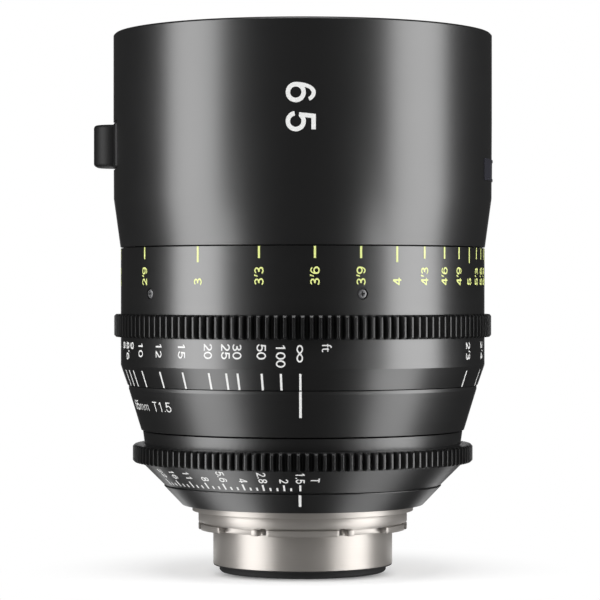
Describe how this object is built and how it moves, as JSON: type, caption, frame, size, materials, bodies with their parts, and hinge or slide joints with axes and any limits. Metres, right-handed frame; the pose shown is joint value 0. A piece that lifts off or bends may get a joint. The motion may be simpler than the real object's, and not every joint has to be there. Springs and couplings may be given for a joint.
{
  "type": "cinema prime lens",
  "caption": "Cinema prime lens with geared focus and iris rings, a sliding focus group, swinging iris blades, a tapped support foot and a stainless barrel mount with tabs.",
  "frame": {"origin": "on the optical axis at the mount's seat face, which is the rear face of the mount's tabs", "axes": "+Z along the optical axis to the front, -Y toward the side with the index marks, -X toward the support foot"},
  "size_m": [0.12, 0.114, 0.1614],
  "materials": {
    "black_anodised": "satin black anodised",
    "blackened_metal": "matte black",
    "stainless": "finely turned",
    "steel": "plain",
    "black_screw": "blackened",
    "blade_steel": "matte black",
    "brass": "turned",
    "coated_glass": "coated"
  },
  "bodies": {
    "lens_barrel": {"front_barrel": "black_anodised", "front_trim_ring": "black_anodised", "front_cell": "blackened_metal", "front_cell_screws": "steel", "front_cell_retainer": "blackened_metal", "front_element": "coated_glass", "front_spacer": "blackened_metal", "second_element": "coated_glass", "support_foot": "black_anodised", "support_foot_screws": "steel", "badge_plate": "blackened_metal", "main_barrel": "blackened_metal", "barrel_lock_ring": "steel", "front_slip_ring": "brass", "rear_slip_ring": "brass", "index_body": "black_anodised", "index_body_screws": "steel", "iris_slip_ring": "brass", "iris_base_ring": "blackened_metal", "iris_cap_ring": "blackened_metal", "index_ring": "black_anodised", "index_ring_screws": "steel", "rear_cell": "blackened_metal", "rear_element_front": "coated_glass", "rear_element_last": "coated_glass", "rear_front_retainer": "blackened_metal", "rear_retainer": "blackened_metal", "mount_barrel": "stainless", "mount_flange": "stainless", "mount_shim": "brass", "mount_screws": "steel", "rear_baffle_ring": "black_anodised"},
    "focus_drive": {"focus_ring": "black_anodised", "focus_gear": "black_anodised", "focus_scale_ring": "black_anodised", "scale_ring_screws": "black_screw", "cam_sleeve": "brass", "cam_sleeve_dowels": "steel", "focus_stop_pin": "steel"},
    "focus_group": {"focus_cell": "blackened_metal", "cam_follower": "brass", "guide_keys": "brass", "focus_element_front": "coated_glass", "focus_element_rear": "coated_glass", "focus_front_retainer": "blackened_metal", "focus_rear_retainer": "blackened_metal"},
    "iris_control": {"iris_ring": "black_anodised", "iris_gear": "black_anodised", "iris_drive_pin": "steel", "iris_cam_ring": "brass"},
    "blade_1": {"iris_blade_1": "blade_steel"},
    "blade_2": {"iris_blade_2": "blade_steel"},
    "blade_3": {"iris_blade_3": "blade_steel"},
    "blade_4": {"iris_blade_4": "blade_steel"},
    "blade_5": {"iris_blade_5": "blade_steel"},
    "blade_6": {"iris_blade_6": "blade_steel"},
    "blade_7": {"iris_blade_7": "blade_steel"},
    "blade_8": {"iris_blade_8": "blade_steel"},
    "blade_9": {"iris_blade_9": "blade_steel"}
  },
  "joints": [
    {"name": "focus_turn", "type": "hinge", "parent": "lens_barrel", "child": "focus_drive", "pos_m": [0, 0, 0.0638], "axis": [0, 0, 1], "range_deg": [0, 297]},
    {"name": "focus_slide", "type": "slide", "parent": "lens_barrel", "child": "focus_group", "axis": [0, 0, 1], "range_m": [0, 0.007]},
    {"name": "iris_turn", "type": "hinge", "parent": "lens_barrel", "child": "iris_control", "pos_m": [0, 0, 0.0215], "axis": [0, 0, 1], "range_deg": [0, 68]},
    {"name": "blade_1_swing", "type": "hinge", "parent": "lens_barrel", "child": "blade_1", "pos_m": [0, -0.0295, 0.0176], "axis": [0, 0, 1], "range_deg": [0, 31.71]},
    {"name": "blade_2_swing", "type": "hinge", "parent": "lens_barrel", "child": "blade_2", "pos_m": [0.01896, -0.0226, 0.0176], "axis": [0, 0, 1], "range_deg": [0, 31.71]},
    {"name": "blade_3_swing", "type": "hinge", "parent": "lens_barrel", "child": "blade_3", "pos_m": [0.02905, -0.00512, 0.0176], "axis": [0, 0, 1], "range_deg": [0, 31.71]},
    {"name": "blade_4_swing", "type": "hinge", "parent": "lens_barrel", "child": "blade_4", "pos_m": [0.02555, 0.01475, 0.0176], "axis": [0, 0, 1], "range_deg": [0, 31.71]},
    {"name": "blade_5_swing", "type": "hinge", "parent": "lens_barrel", "child": "blade_5", "pos_m": [0.01009, 0.02772, 0.0176], "axis": [0, 0, 1], "range_deg": [0, 31.71]},
    {"name": "blade_6_swing", "type": "hinge", "parent": "lens_barrel", "child": "blade_6", "pos_m": [-0.01009, 0.02772, 0.0176], "axis": [0, 0, 1], "range_deg": [0, 31.71]},
    {"name": "blade_7_swing", "type": "hinge", "parent": "lens_barrel", "child": "blade_7", "pos_m": [-0.02555, 0.01475, 0.0176], "axis": [0, 0, 1], "range_deg": [0, 31.71]},
    {"name": "blade_8_swing", "type": "hinge", "parent": "lens_barrel", "child": "blade_8", "pos_m": [-0.02905, -0.00512, 0.0176], "axis": [0, 0, 1], "range_deg": [0, 31.71]},
    {"name": "blade_9_swing", "type": "hinge", "parent": "lens_barrel", "child": "blade_9", "pos_m": [-0.01896, -0.0226, 0.0176], "axis": [0, 0, 1], "range_deg": [0, 31.71]}
  ],
  "couplings": [
    {"joint": "focus_slide", "follows": "focus_turn", "m_per_rad": 0.0013504},
    {"joint": "blade_1_swing", "follows": "iris_turn", "ratio": 0.46635},
    {"joint": "blade_2_swing", "follows": "iris_turn", "ratio": 0.46635},
    {"joint": "blade_3_swing", "follows": "iris_turn", "ratio": 0.46635},
    {"joint": "blade_4_swing", "follows": "iris_turn", "ratio": 0.46635},
    {"joint": "blade_5_swing", "follows": "iris_turn", "ratio": 0.46635},
    {"joint": "blade_6_swing", "follows": "iris_turn", "ratio": 0.46635},
    {"joint": "blade_7_swing", "follows": "iris_turn", "ratio": 0.46635},
    {"joint": "blade_8_swing", "follows": "iris_turn", "ratio": 0.46635},
    {"joint": "blade_9_swing", "follows": "iris_turn", "ratio": 0.46635}
  ]
}
